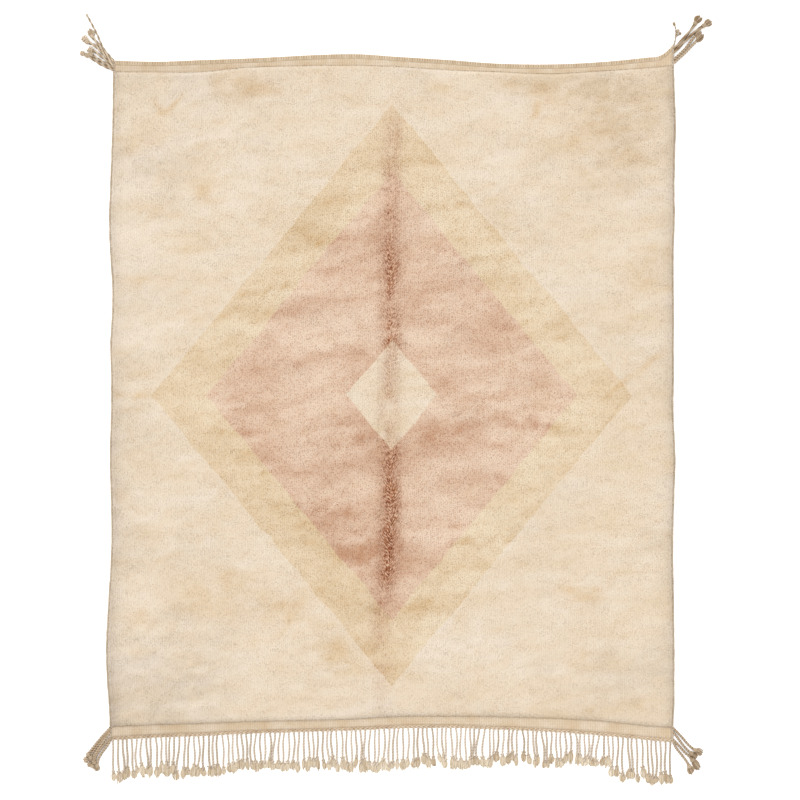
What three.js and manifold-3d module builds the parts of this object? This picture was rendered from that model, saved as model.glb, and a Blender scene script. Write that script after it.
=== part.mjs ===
// A hand-knotted wool pile rug lying flat on the floor, in millimetres, +Z up.
// The origin is the middle of the woven body on its back face. +Y runs along the warps
// to the plain end, and the fringed end is towards -Y.
import * as THREE from "three";
import Module from "manifold-3d";

const wasm = await Module();
wasm.setup();

// Driving sizes.
const HALF_WIDTH = 1250;
const HALF_PILE_LENGTH = 1450;
const GAP = 0.3;
const PILE_HEIGHT = 25;
const RIM_WALL = 11;
const RIM_ROUND = 17;
const SELVEDGE = { width: 8, height: 10 };
const BAND_THICKNESS = 5;
const ROLL = { width: 20, ridge: 9, valley: 7.6, pitch: 11.2, crown: 0.62 };
const TWINING = { width: 12, front: 8.6, knot: 10, dip: 8 };
const STRANDS = 118;
const STRAND_MARGIN = 6;
const TASSEL_BAR = { width: 9, height: 9 };
const ROOT_DEPTH = 5;

const COLOUR = { pile: 0xead9bd, weave: 0xd9c19c, cord: 0xc9ac83, yarn: 0xd5bd98 };

// How far each side stands out from the straight edge, by the place along the rug.
const SIDES = [
  { y: 1450, left: -8, right: 3 },
  { y: 1100, left: 0, right: 12 },
  { y: 770, left: 9, right: 8 },
  { y: 430, left: -4, right: 10 },
  { y: 100, left: 3, right: 5 },
  { y: -235, left: 11, right: 13 },
  { y: -680, left: -3, right: 5 },
  { y: -900, left: 12, right: 8 },
  { y: -1125, left: 26, right: 13 },
  { y: -1460, left: 8, right: 2 },
];

// Where the pile stops and where the flat woven end stops, by the place across the rug.
const ENDS = [
  { x: -1260, topPile: 1450, topEdge: 1500, lowPile: -1466, lowEdge: -1523 },
  { x: -1050, topPile: 1449, topEdge: 1494, lowPile: -1456, lowEdge: -1511 },
  { x: -850, topPile: 1449, topEdge: 1501, lowPile: -1451, lowEdge: -1504 },
  { x: -630, topPile: 1470, topEdge: 1513, lowPile: -1442, lowEdge: -1494 },
  { x: -190, topPile: 1478, topEdge: 1528, lowPile: -1432, lowEdge: -1480 },
  { x: 35, topPile: 1472, topEdge: 1515, lowPile: -1420, lowEdge: -1470 },
  { x: 260, topPile: 1457, topEdge: 1501, lowPile: -1419, lowEdge: -1468 },
  { x: 700, topPile: 1441, topEdge: 1482, lowPile: -1428, lowEdge: -1486 },
  { x: 925, topPile: 1453, topEdge: 1492, lowPile: -1440, lowEdge: -1502 },
  { x: 1130, topPile: 1467, topEdge: 1512, lowPile: -1461, lowEdge: -1521 },
  { x: 1200, topPile: 1473, topEdge: 1524, lowPile: -1466, lowEdge: -1528 },
  { x: 1262, topPile: 1480, topEdge: 1568, lowPile: -1469, lowEdge: -1533 },
];

// The furrow left where the rug was once folded in half along its length.
const CREASE = [
  { y: 1300, x: -12, depth: 0 },
  { y: 1150, x: -18, depth: 2 },
  { y: 850, x: -16, depth: 4 },
  { y: 400, x: -12, depth: 5 },
  { y: -100, x: -14, depth: 5 },
  { y: -650, x: -10, depth: 5.5 },
  { y: -900, x: -30, depth: 3.5 },
  { y: -1150, x: -60, depth: 2 },
  { y: -1400, x: -70, depth: 0 },
];
const CREASE_HALF_WIDTH = 34;

// The low waves in the pile: how high, how long across and along, and the phase.
const WAVES = [
  { height: 0.9, across: 1900, along: 310, phase: 0.4 },
  { height: 0.7, across: -760, along: 420, phase: 2.1 },
  { height: 0.5, across: 330, along: 980, phase: 4.4 },
];

// The knotted warp ends, from the woven end to the tip of the brush.
const FRINGE = [
  { x: -1250, length: 186 },
  { x: -1080, length: 168 },
  { x: -850, length: 184 },
  { x: -590, length: 163 },
  { x: -430, length: 177 },
  { x: -320, length: 166 },
  { x: -60, length: 190 },
  { x: 150, length: 170 },
  { x: 290, length: 178 },
  { x: 480, length: 158 },
  { x: 750, length: 149 },
  { x: 955, length: 138 },
  { x: 1000, length: 190 },
  { x: 1130, length: 184 },
  { x: 1250, length: 200 },
];

// A strand's section by its share of the length: a cord, a knot, and a brush of cut yarn.
const STRAND = [
  { at: 0, wide: 9, high: 8 },
  { at: 0.35, wide: 9, high: 8 },
  { at: 0.64, wide: 9, high: 8 },
  { at: 0.7, wide: 14, high: 12 },
  { at: 0.85, wide: 14, high: 9 },
  { at: 1, wide: 13, high: 5 },
];

// A corner cord's section, in the same way, and that of a thin cord with no brush.
const CORNER_CORD = [
  { at: 0, wide: 9, high: 8 },
  { at: 0.25, wide: 9, high: 8 },
  { at: 0.5, wide: 9, high: 8 },
  { at: 0.74, wide: 9, high: 8 },
  { at: 0.8, wide: 15, high: 13 },
  { at: 0.92, wide: 18, high: 9 },
  { at: 1, wide: 14, high: 6 },
];
const BARE_CORD = [
  { at: 0, wide: 7, high: 6 },
  { at: 0.3, wide: 7, high: 6 },
  { at: 0.6, wide: 6, high: 5.5 },
  { at: 0.95, wide: 6, high: 5.5 },
  { at: 0.97, wide: 8.5, high: 7 },
  { at: 1, wide: 5, high: 4 },
];

// The corner tassels' cords, each by the places it passes on the floor, from root to tip.
const TASSELS = {
  top_left: [
    { rows: BARE_CORD, through: [[-1240, 1499], [-1279, 1550], [-1320, 1629], [-1358, 1705]] },
    { rows: CORNER_CORD, through: [[-1240, 1491], [-1296, 1543], [-1326, 1586], [-1342, 1633]] },
    { rows: CORNER_CORD, through: [[-1240, 1482], [-1313, 1535], [-1349, 1572], [-1374, 1596]] },
    { rows: CORNER_CORD, through: [[-1240, 1468], [-1280, 1493], [-1321, 1521], [-1349, 1547]] },
    { rows: CORNER_CORD, through: [[-1240, 1455], [-1290, 1479], [-1338, 1505], [-1377, 1526]] },
  ],
  top_right: [
    { rows: BARE_CORD, through: [[1250, 1548], [1260, 1592], [1264, 1630], [1255, 1665]] },
    { rows: CORNER_CORD, through: [[1250, 1536], [1292, 1593], [1335, 1650], [1370, 1694]] },
    { rows: CORNER_CORD, through: [[1250, 1522], [1307, 1582], [1366, 1637], [1420, 1669]] },
    { rows: CORNER_CORD, through: [[1250, 1502], [1281, 1538], [1322, 1590], [1364, 1622]] },
    { rows: CORNER_CORD, through: [[1250, 1488], [1292, 1524], [1338, 1572], [1378, 1604]] },
  ],
  low_left: [
    { rows: CORNER_CORD, through: [[-1254, -1476], [-1305, -1531], [-1340, -1578], [-1366, -1622]] },
    { rows: CORNER_CORD, through: [[-1254, -1490], [-1292, -1536], [-1320, -1583], [-1345, -1636]] },
    { rows: CORNER_CORD, through: [[-1254, -1504], [-1280, -1542], [-1304, -1590], [-1324, -1650]] },
    { rows: CORNER_CORD, through: [[-1254, -1517], [-1268, -1555], [-1284, -1600], [-1300, -1660]] },
  ],
  low_right: [
    { rows: CORNER_CORD, through: [[1249, -1476], [1279, -1505], [1322, -1545], [1376, -1582]] },
    { rows: CORNER_CORD, through: [[1249, -1490], [1276, -1523], [1310, -1560], [1362, -1603]] },
    { rows: CORNER_CORD, through: [[1249, -1508], [1279, -1546], [1318, -1594], [1360, -1646]] },
    { rows: CORNER_CORD, through: [[1249, -1524], [1268, -1565], [1298, -1612], [1329, -1671]] },
  ],
};

// A smooth curve through one column of a table, read at a place between its rows.
function curve(table, key, column, at) {
  const rows = [...table].sort((a, b) => a[key] - b[key]);
  const last = rows.length - 1;
  const clamped = THREE.MathUtils.clamp(at, rows[0][key], rows[last][key]);
  let i = 0;
  while (i < last - 1 && clamped > rows[i + 1][key]) i++;
  const slope = (j) => {
    const before = rows[Math.max(j - 1, 0)];
    const after = rows[Math.min(j + 1, last)];
    return (after[column] - before[column]) / (after[key] - before[key]);
  };
  const span = rows[i + 1][key] - rows[i][key];
  const t = (clamped - rows[i][key]) / span;
  const [a, b] = [rows[i][column], rows[i + 1][column]];
  const [p, q] = [slope(i) * span, slope(i + 1) * span];
  return a + p * t + (3 * (b - a) - 2 * p - q) * t * t + (2 * (a - b) + p + q) * t ** 3;
}

const leftEdge = (y) => -HALF_WIDTH - curve(SIDES, "y", "left", y);
const rightEdge = (y) => HALF_WIDTH + curve(SIDES, "y", "right", y);
const endLine = (column, x) => curve(ENDS, "x", column, x);
const mix = THREE.MathUtils.lerp;

// Grid places as shares of the pile's width and length, close together at the rim and the crease.
function places(half, middle, step) {
  const rim = [0, 5, RIM_ROUND];
  const inner = 2 * half - 2 * RIM_ROUND;
  const count = Math.round(inner / step);
  const even = Array.from({ length: count - 1 }, (_, i) => RIM_ROUND + ((i + 1) * inner) / count);
  const clear = even.filter((place) => middle.every((m) => Math.abs(place - m) > step * 0.4));
  const all = [...rim, ...clear, ...middle, ...rim.map((d) => 2 * half - d)];
  return all.sort((a, b) => a - b).map((place) => place / (2 * half));
}
const creaseLines = [-46, -24, -2, 20, 42].map((d) => HALF_WIDTH - 15 + d);
const COLUMNS = places(HALF_WIDTH, creaseLines, 92);
const ROWS = places(HALF_PILE_LENGTH, [], 92);

// A point of the pile's foot, from shares across and along; inset leaves room at the sides.
function footPoint(u, v, inset) {
  let x = mix(-HALF_WIDTH, HALF_WIDTH, u);
  let y = 0;
  for (let pass = 0; pass < 4; pass++) {
    y = mix(endLine("lowPile", x), endLine("topPile", x), v);
    x = mix(leftEdge(y) + inset, rightEdge(y) - inset, u);
  }
  return [x, y];
}

// The pile's height over a point: a crown at the rim, low waves, and the old fold.
function pileHeight(x, y, u, v) {
  const rise = (share, half) => {
    const distance = 2 * half * Math.min(share, 1 - share);
    const in_ = 1 - Math.min(distance / RIM_ROUND, 1);
    return Math.sqrt(Math.max(1 - in_ * in_, 0));
  };
  const crown = rise(u, HALF_WIDTH) * rise(v, HALF_PILE_LENGTH);
  const away = (x - curve(CREASE, "y", "x", y)) / CREASE_HALF_WIDTH;
  const furrow = curve(CREASE, "y", "depth", y) * Math.exp(-away * away);
  const wave = WAVES.reduce(
    (sum, w) => sum + w.height * Math.sin(2 * Math.PI * (x / w.across + y / w.along) + w.phase),
    0,
  );
  return RIM_WALL + crown * (PILE_HEIGHT - RIM_WALL + wave - furrow);
}

// A geometry from points and triangles, turned to face outwards.
function closed(points, triangles) {
  const corner = (i) => new THREE.Vector3(...points[i]);
  let volume = 0;
  for (const [a, b, c] of triangles) volume += corner(a).dot(corner(b).cross(corner(c)));
  const facing = volume < 0 ? triangles.map(([a, b, c]) => [a, c, b]) : triangles;
  const geometry = new THREE.BufferGeometry();
  geometry.setAttribute("position", new THREE.Float32BufferAttribute(points.flat(), 3));
  geometry.setIndex(facing.flat());
  return geometry;
}

// A closed solid through rings of equal count, each a convex loop, with flat caps.
function loft(rings) {
  const around = rings[0].length;
  const top = (rings.length - 1) * around;
  const triangles = [];
  for (let ring = 0; ring < rings.length - 1; ring++)
    for (let side = 0; side < around; side++) {
      const [a, b] = [ring * around + side, ring * around + ((side + 1) % around)];
      triangles.push([a, b, b + around], [a, b + around, a + around]);
    }
  for (let side = 1; side < around - 1; side++)
    triangles.push([0, side + 1, side], [top, top + side, top + side + 1]);
  return closed(rings.flat(), triangles);
}

// The knotted pile with its foundation: a slab with a flat back and a soft, uneven top.
function pileField() {
  const inset = SELVEDGE.width + GAP;
  const points = [];
  const triangles = [];
  const wide = COLUMNS.length;
  for (const v of ROWS)
    for (const u of COLUMNS) {
      const [x, y] = footPoint(u, v, inset);
      points.push([x, y, pileHeight(x, y, u, v)]);
    }
  for (let j = 0; j < ROWS.length - 1; j++)
    for (let i = 0; i < wide - 1; i++) {
      const a = j * wide + i;
      triangles.push([a, a + 1, a + wide + 1], [a, a + wide + 1, a + wide]);
    }
  const last = (ROWS.length - 1) * wide;
  const rim = [
    ...COLUMNS.map((_, i) => i),
    ...ROWS.slice(1).map((_, j) => (j + 1) * wide + wide - 1),
    ...COLUMNS.slice(1).map((_, i) => last + wide - 2 - i),
    ...ROWS.slice(1, -1).map((_, j) => last - (j + 1) * wide),
  ];
  const foot = points.length;
  for (const i of rim) points.push([points[i][0], points[i][1], 0]);
  rim.forEach((top, i) => {
    const next = (i + 1) % rim.length;
    triangles.push([top, foot + i, foot + next], [top, foot + next, rim[next]]);
  });
  const outline = rim.map((i) => new THREE.Vector2(points[i][0], points[i][1]));
  for (const [a, b, c] of THREE.ShapeUtils.triangulateShape(outline, []))
    triangles.push([foot + a, foot + c, foot + b]);
  return closed(points, triangles);
}

// The pile's end line from corner to corner, stopping short of the sides for the tassel bars.
function endOfPile(v) {
  const short = TASSEL_BAR.width + GAP;
  const line = COLUMNS.map((u) => footPoint(u, v, 0));
  const [from, to] = [line[0][0] + short, line.at(-1)[0] - short];
  const column = v ? "topPile" : "lowPile";
  const inside = line.filter(([x]) => x > from + 1 && x < to - 1);
  return [[from, endLine(column, from)], ...inside, [to, endLine(column, to)]];
}

// The lines that bound each flat band: at the pile, and at its finish.
const topPileLine = endOfPile(1).map(([x, y]) => [x, y + GAP]);
const lowPileLine = endOfPile(0).map(([x, y]) => [x, y - GAP]);
const topBandLine = topPileLine.map(([x]) => [x, endLine("topEdge", x) - ROLL.width - GAP]);
const lowBandLine = lowPileLine.map(([x]) => [x, endLine("lowEdge", x) + TWINING.width + GAP]);

// The height of a line of points at a place between them.
function lineAt(line, x) {
  let i = 0;
  while (i < line.length - 2 && x > line[i + 1][0]) i++;
  const [[x0, y0], [x1, y1]] = [line[i], line[i + 1]];
  return mix(y0, y1, (x - x0) / (x1 - x0));
}

// A closed solid along X through lines of any count, each joined to the next, with flat ends.
function ruled(lines) {
  const starts = lines.map((_, i) => lines.slice(0, i).reduce((sum, line) => sum + line.length, 0));
  const triangles = [];
  lines.forEach((near, i) => {
    const next = (i + 1) % lines.length;
    const far = lines[next];
    let [a, b] = [0, 0];
    while (a < near.length - 1 || b < far.length - 1) {
      const [p, q] = [starts[i] + a, starts[next] + b];
      const nearFirst = b === far.length - 1 || (near[a + 1]?.[0] ?? Infinity) <= far[b + 1][0];
      triangles.push(nearFirst ? [p, p + 1, q] : [p, q + 1, q]);
      if (nearFirst) a++;
      else b++;
    }
  });
  for (let i = 1; i < lines.length - 1; i++) {
    triangles.push([starts[0], starts[i], starts[i + 1]]);
    const ends = [0, i + 1, i].map((line) => starts[line] + lines[line].length - 1);
    triangles.push(ends);
  }
  return closed(lines.flat(), triangles);
}

// A line of points beside another, further along Y and at a height.
const beside = (line, step, z) => line.map(([x, y]) => [x, y + step, z]);

// A line with points halfway between its ridges, alternately low and high.
function ridged(line, step, first, pitch, count, low, high) {
  const [from, to] = [line[0][0], line.at(-1)[0]];
  const places = Array.from({ length: 2 * count - 1 }, (_, i) => first + (i * pitch) / 2);
  const points = places.map((x, i) => [x, lineAt(line, x) + step, i % 2 ? low : high]);
  return [[from, line[0][1] + step, low], ...points, [to, line.at(-1)[1] + step, low]];
}

// A flat woven band between two lines.
function flatBand(near, far) {
  return ruled([
    beside(near, 0, 0),
    beside(far, 0, 0),
    beside(far, 0, BAND_THICKNESS),
    beside(near, 0, BAND_THICKNESS),
  ]);
}

// The plain end's finish: warp ends turned back and bound, with a rib for each pair.
function ribbedRoll() {
  const run = topBandLine.at(-1)[0] - topBandLine[0][0];
  const ribs = Math.round(run / ROLL.pitch);
  const pitch = run / ribs;
  const first = topBandLine[0][0] + pitch / 2;
  const crown = GAP + ROLL.width * ROLL.crown;
  return ruled([
    beside(topBandLine, GAP, 0),
    beside(topBandLine, GAP + ROLL.width, 0),
    ridged(topBandLine, crown, first, pitch, ribs, ROLL.valley, ROLL.ridge),
  ]);
}

// An overcast side cord, beside the pile.
function selvedge(side) {
  const rings = ROWS.map((v) => {
    const outer = footPoint(side, v, 0);
    const inner = footPoint(side, v, SELVEDGE.width);
    const across = (share, z) => [
      mix(inner[0], outer[0], share),
      mix(inner[1], outer[1], share),
      z,
    ];
    const shoulder = SELVEDGE.height * 0.7;
    return [
      across(0, 0),
      across(1, 0),
      across(1, shoulder),
      across(0.6, SELVEDGE.height),
      across(0, shoulder),
    ];
  });
  return loft(rings);
}

// A strand through points on the floor, from rows of sizes; each ring is a low trapezium.
function strand(path, rows) {
  const rings = rows.map(({ at, wide, high }) => {
    const [x, y] = path(at);
    const [x0, y0] = path(Math.max(at - 0.01, 0));
    const [x1, y1] = path(Math.min(at + 0.01, 1));
    const run = Math.hypot(x1 - x0, y1 - y0);
    const [nx, ny] = [-(y1 - y0) / run, (x1 - x0) / run];
    const half = wide / 2;
    const place = (side, z) => [x + nx * side, y + ny * side, z];
    return [
      place(-half, 0),
      place(half, 0),
      place(half * 0.62, high),
      place(-half * 0.62, high),
    ];
  });
  return loft(rings);
}

// A loft as a manifold solid, and a union of them back as a geometry.
function solid(geometry) {
  const mesh = new wasm.Mesh({
    numProp: 3,
    vertProperties: new Float32Array(geometry.getAttribute("position").array),
    triVerts: new Uint32Array(geometry.index.array),
  });
  return new wasm.Manifold(mesh);
}
function fused(geometries) {
  const joined = wasm.Manifold.union(geometries.map(solid)).getMesh();
  const geometry = new THREE.BufferGeometry();
  geometry.setAttribute("position", new THREE.BufferAttribute(joined.vertProperties, 3));
  geometry.setIndex(new THREE.BufferAttribute(joined.triVerts, 1));
  return geometry;
}

// The fringed end: a twined row that locks the weave, with every warp group hanging from it.
function fringe() {
  const [from, to] = [lowBandLine[0][0], lowBandLine.at(-1)[0]];
  const pitch = (to - from - 2 * STRAND_MARGIN) / (STRANDS - 1);
  const twinedLine = (x) => lineAt(lowBandLine, x) - GAP;
  const first = from + STRAND_MARGIN;
  const ridge = -GAP - TWINING.width * 0.5;
  const twined = ruled([
    beside(lowBandLine, -GAP, 0),
    beside(lowBandLine, -GAP - TWINING.width, 0),
    beside(lowBandLine, -GAP - TWINING.width, TWINING.front),
    ridged(lowBandLine, ridge, first, pitch, STRANDS, TWINING.dip, TWINING.knot),
    beside(lowBandLine, -GAP - TWINING.width * 0.2, TWINING.dip),
  ]);
  const pieces = [twined];
  for (let i = 0; i < STRANDS; i++) {
    const x = first + i * pitch;
    const y = twinedLine(x) - TWINING.width + ROOT_DEPTH;
    const length =
      curve(FRINGE, "x", "length", x) + ROOT_DEPTH + 5 * Math.sin(2.3 * i) + 3 * Math.sin(0.9 * i);
    const drift = 8.5 * Math.sin(0.29 * i + 0.6) + 1.8 * Math.sin(1.7 * i);
    const inside = 1 - Math.abs(x) / HALF_WIDTH > 0.02 ? 1 : 0.4;
    const bow = 2.6 * Math.sin(0.8 * i);
    const path = (s) => [
      x + inside * (drift * s ** 1.5 + bow * Math.sin(Math.PI * s)),
      y - length * s,
    ];
    pieces.push(strand(path, STRAND));
  }
  return fused(pieces);
}

// A corner tassel: cords fused to a short bar, from the pile to the outer edge of a flat band.
function tassel(bandEnd, [pile, edge], cords) {
  const out = Math.sign(bandEnd);
  const inner = bandEnd + out * GAP;
  const outer = inner + out * TASSEL_BAR.width;
  const ring = (column, step) => [
    [inner, endLine(column, inner) + step, 0],
    [outer, endLine(column, outer) + step, 0],
    [outer, endLine(column, outer) + step, TASSEL_BAR.height * 0.9],
    [inner, endLine(column, inner) + step, TASSEL_BAR.height],
  ];
  const away = edge === "topEdge" ? GAP : -GAP;
  const pieces = [loft([ring(pile, away), ring(edge, 0)])];
  for (const { rows, through } of cords) {
    const line = new THREE.SplineCurve(through.map(([x, y]) => new THREE.Vector2(x, y)));
    pieces.push(strand((s) => line.getPointAt(s).toArray(), rows));
  }
  return fused(pieces);
}

function finish(color, roughness) {
  return new THREE.MeshStandardMaterial({ color, roughness, metalness: 0 });
}
const wool = finish(COLOUR.pile, 0.95);
const weave = finish(COLOUR.weave, 0.9);
const binding = finish(COLOUR.cord, 0.9);
const yarn = finish(COLOUR.yarn, 0.9);

const rug = new THREE.Group();
function add(name, geometry, material) {
  const mesh = new THREE.Mesh(geometry, material);
  mesh.name = name;
  rug.add(mesh);
}

add("pile_field", pileField(), wool);
add("end_band_plain", flatBand(topPileLine, topBandLine), weave);
add("end_band_fringed", flatBand(lowPileLine, lowBandLine), weave);
add("ribbed_end_roll", ribbedRoll(), binding);
add("selvedge_left", selvedge(0), binding);
add("selvedge_right", selvedge(1), binding);
add("twined_fringe", fringe(), yarn);

const [topBand, lowBand] = [["topPile", "topEdge"], ["lowPile", "lowEdge"]];
const [topStart, topEnd] = [topPileLine[0][0], topPileLine.at(-1)[0]];
const [lowStart, lowEnd] = [lowPileLine[0][0], lowPileLine.at(-1)[0]];
add("tassel_top_left", tassel(topStart, topBand, TASSELS.top_left), binding);
add("tassel_top_right", tassel(topEnd, topBand, TASSELS.top_right), binding);
add("tassel_low_left", tassel(lowStart, lowBand, TASSELS.low_left), binding);
add("tassel_low_right", tassel(lowEnd, lowBand, TASSELS.low_right), binding);

export default rug;
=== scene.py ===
import bpy
import numpy as np
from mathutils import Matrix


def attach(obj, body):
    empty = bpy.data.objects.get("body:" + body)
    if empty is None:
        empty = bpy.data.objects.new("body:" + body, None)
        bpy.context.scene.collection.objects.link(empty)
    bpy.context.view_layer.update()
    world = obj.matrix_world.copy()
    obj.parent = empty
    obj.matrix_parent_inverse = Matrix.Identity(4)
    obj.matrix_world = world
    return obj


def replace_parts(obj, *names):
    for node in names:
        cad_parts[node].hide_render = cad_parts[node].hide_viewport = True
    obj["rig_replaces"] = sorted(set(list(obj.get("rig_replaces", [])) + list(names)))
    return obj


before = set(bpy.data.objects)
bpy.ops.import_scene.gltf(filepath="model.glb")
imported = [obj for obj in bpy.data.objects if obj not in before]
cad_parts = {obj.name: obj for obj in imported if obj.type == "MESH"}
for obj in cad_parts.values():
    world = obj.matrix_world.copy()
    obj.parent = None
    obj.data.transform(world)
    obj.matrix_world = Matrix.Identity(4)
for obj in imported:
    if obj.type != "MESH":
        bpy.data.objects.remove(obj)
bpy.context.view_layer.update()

# Woven foundation
# Ivory wool warps and wefts, beaten tight into a cloth about 4 mm thick. It carries the pile,
# and every knot of the pile shows on its back as a small loop, in rows across the rug.

MM = 0.001
HALF_WIDTH = 1250.0
FOUNDATION_THICK = 4.0
SELVEDGE_WIDE = 8.3

# How far each side stands out from the straight edge: place along, left, right, all in mm.
SIDES = np.array([
    (1450, -8, 5),
    (1225, -6, 13),
    (1083, -1, 10),
    (941, 4, 7),
    (798, 9, 9),
    (656, 5, 4),
    (500, -5, 3.5),
    (371, -4, 5),
    (229, 4, 4),
    (87, 0, 4.5),
    (-56, 0, 2.5),
    (-270, 6, 11),
    (-483, 0, 5),
    (-690, 0, 1),
    (-910, 13, 4.5),
    (-1100, 22, 7),
    (-1250, 19, 7),
    (-1337, 12, 7),
    (-1460, 6, 2),
], float)

# The plain end on top and the fringed end below, in mm: place across, then for each end the line
# where its pile stops and its outer edge.
ENDS = np.array([
    (-1260, 1450, 1500, -1466, -1523),
    (-1050, 1449, 1494, -1456, -1511),
    (-850, 1449, 1501, -1451, -1504),
    (-630, 1470, 1509, -1442, -1494),
    (-190, 1478, 1528, -1432, -1480),
    (35, 1472, 1515, -1420, -1470),
    (260, 1457, 1501, -1419, -1468),
    (460, 1450, 1486, -1421, -1475),
    (700, 1441, 1482, -1428, -1486),
    (925, 1453, 1492, -1440, -1502),
    (1130, 1467, 1512, -1461, -1521),
    (1200, 1473, 1524, -1466, -1528),
    (1262, 1480, 1580, -1469, -1533),
], float)
TOP_PILE, TOP_EDGE, LOW_PILE, LOW_EDGE = 1, 2, 3, 4


def curve(table, column, at):
    """A smooth line through a table's column: cubics, with slopes from the rows on both sides."""
    rows = table[np.argsort(table[:, 0])]
    places, values = rows[:, 0], rows[:, column]
    last = len(rows) - 1
    before, after = np.maximum(np.arange(last + 1) - 1, 0), np.minimum(np.arange(last + 1) + 1, last)
    slopes = (values[after] - values[before]) / (places[after] - places[before])
    at = np.clip(at, places[0], places[-1])
    i = np.clip(np.searchsorted(places, at, side="right") - 1, 0, last - 1)
    span = places[i + 1] - places[i]
    t = (at - places[i]) / span
    a, b = values[i], values[i + 1]
    p, q = slopes[i] * span, slopes[i + 1] * span
    return a + p * t + (3 * (b - a) - 2 * p - q) * t**2 + (2 * (a - b) + p + q) * t**3


def blend(a, b, share):
    """The value that lies a share of the way from a to b."""
    return a + (b - a) * share


def place_on_rug(across, along, inset=0.0, end_inset=0.0):
    """Where shares across and along the pile lie: a few rounds settle the curved sides and ends."""
    x = blend(-HALF_WIDTH, HALF_WIDTH, across)
    for _ in range(4):
        y = blend(curve(ENDS, LOW_PILE, x) + end_inset, curve(ENDS, TOP_PILE, x) - end_inset, along)
        left = -HALF_WIDTH - curve(SIDES, 1, y) + inset
        right = HALF_WIDTH + curve(SIDES, 2, y) - inset
        x = blend(left, right, across)
    return x, y


def spots_at(x, y, z):
    """Points from places and heights whose shapes fit together."""
    return np.stack(np.broadcast_arrays(x, y, z), axis=-1)


def grid_of(points):
    """Numbers of the points of a grid, in its own rows and columns."""
    return np.arange(points.shape[0] * points.shape[1]).reshape(points.shape[:2])


def quads_between(a, b, c, d):
    """Four-sided faces from four equal blocks of point numbers, taken in turn round each face."""
    return np.stack([a.ravel(), b.ravel(), c.ravel(), d.ravel()], axis=1)


def slab(top, under):
    """A closed slab from two grids of points over each other, with walls round the rim."""
    t = grid_of(top)
    u = t + t.size
    walls = [
        (u[0, :-1], u[0, 1:], t[0, 1:], t[0, :-1]),
        (u[-1, 1:], u[-1, :-1], t[-1, :-1], t[-1, 1:]),
        (u[:-1, -1], u[1:, -1], t[1:, -1], t[:-1, -1]),
        (u[1:, 0], u[:-1, 0], t[:-1, 0], t[1:, 0]),
    ]
    faces = [
        quads_between(t[:-1, :-1], t[:-1, 1:], t[1:, 1:], t[1:, :-1]),
        quads_between(u[:-1, :-1], u[1:, :-1], u[1:, 1:], u[:-1, 1:]),
        *[quads_between(*wall) for wall in walls],
    ]
    return np.concatenate([top.reshape(-1, 3), under.reshape(-1, 3)]), [np.concatenate(faces)]


def make_piece(name, points, faces, material, marks=None, smooth=True, plan=False):
    """An object from points in mm and blocks of faces, riding on the rug's one body.

    marks are named values for each point. plan gives the piece a flat map of its points, seen
    from above, named OFBake."""
    mesh = bpy.data.meshes.new(name)
    mesh.vertices.add(len(points))
    mesh.vertices.foreach_set("co", (points * MM).astype(np.float32).ravel())
    sides = np.concatenate([np.full(len(block), block.shape[1]) for block in faces])
    mesh.loops.add(int(sides.sum()))
    mesh.polygons.add(len(sides))
    corners = np.concatenate([block.ravel() for block in faces]).astype(np.int32)
    mesh.loops.foreach_set("vertex_index", corners)
    starts = np.concatenate([[0], np.cumsum(sides)[:-1]]).astype(np.int32)
    mesh.polygons.foreach_set("loop_start", starts)
    mesh.polygons.foreach_set("use_smooth", np.full(len(sides), smooth))
    mesh.update(calc_edges=True)
    for label, values in (marks or {}).items():
        flat = values.ndim == 1
        layer = mesh.attributes.new(label, "FLOAT" if flat else "FLOAT_COLOR", "POINT")
        layer.data.foreach_set("value" if flat else "color", values.astype(np.float32).ravel())
    if plan:
        low, high = points[:, :2].min(0), points[:, :2].max(0)
        flat_map = mesh.uv_layers.new(name="OFBake")
        seen = ((points[:, :2] - low) / (high - low))[corners]
        flat_map.data.foreach_set("uv", seen.astype(np.float32).ravel())
    mesh.materials.append(material)
    piece = bpy.data.objects.new(name, mesh)
    bpy.context.scene.collection.objects.link(piece)
    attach(piece, "root")
    return piece


def linear(code):
    """A linear colour from an sRGB hex code: each part is taken through the sRGB curve."""
    parts = np.array([int(code[i : i + 2], 16) for i in (0, 2, 4)]) / 255
    light = np.where(parts <= 0.04045, parts / 12.92, ((parts + 0.055) / 1.055) ** 2.4)
    return (*light.tolist(), 1.0)


def node(tree, kind, sockets=None, **settings):
    """Adds a shader node with its settings, and with its sockets linked to outputs or set to
    plain values. Returns its outputs."""
    made = tree.nodes.new("ShaderNode" + kind)
    for key, value in settings.items():
        setattr(made, key, value)
    for key, value in (sockets or {}).items():
        if isinstance(value, bpy.types.NodeSocket):
            tree.links.new(value, made.inputs[key])
        else:
            made.inputs[key].default_value = value
    return made.outputs


# How a Mix node joins two colours: it blends them, multiplies the first by the second, or shades
# the first softly by the second.
BLEND = {"data_type": "RGBA"}
TINT = {"data_type": "RGBA", "blend_type": "MULTIPLY"}
SOFT = {"data_type": "RGBA", "blend_type": "SOFT_LIGHT"}


def wave_scale(spacing):
    """A wave texture's scale for bands a spacing in mm apart: a tenth of pi over it, in metres."""
    return np.pi / 10 / (spacing * MM)


def new_material(name, roughness, sheen):
    """An empty cloth material: wool keeps IOR 1.5 and has a soft sheen from its loose hairs."""
    material = bpy.data.materials.new(name)
    material.use_nodes = True
    tree = material.node_tree
    shader = tree.nodes["Principled BSDF"]
    shader.inputs["Roughness"].default_value = roughness
    shader.inputs["IOR"].default_value = 1.5
    shader.inputs["Specular IOR Level"].default_value = 0.15
    shader.inputs["Sheen Weight"].default_value = sheen
    shader.inputs["Sheen Roughness"].default_value = 0.6
    shader.inputs["Sheen Tint"].default_value = linear("fff4e6")
    return material, tree, shader


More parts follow.
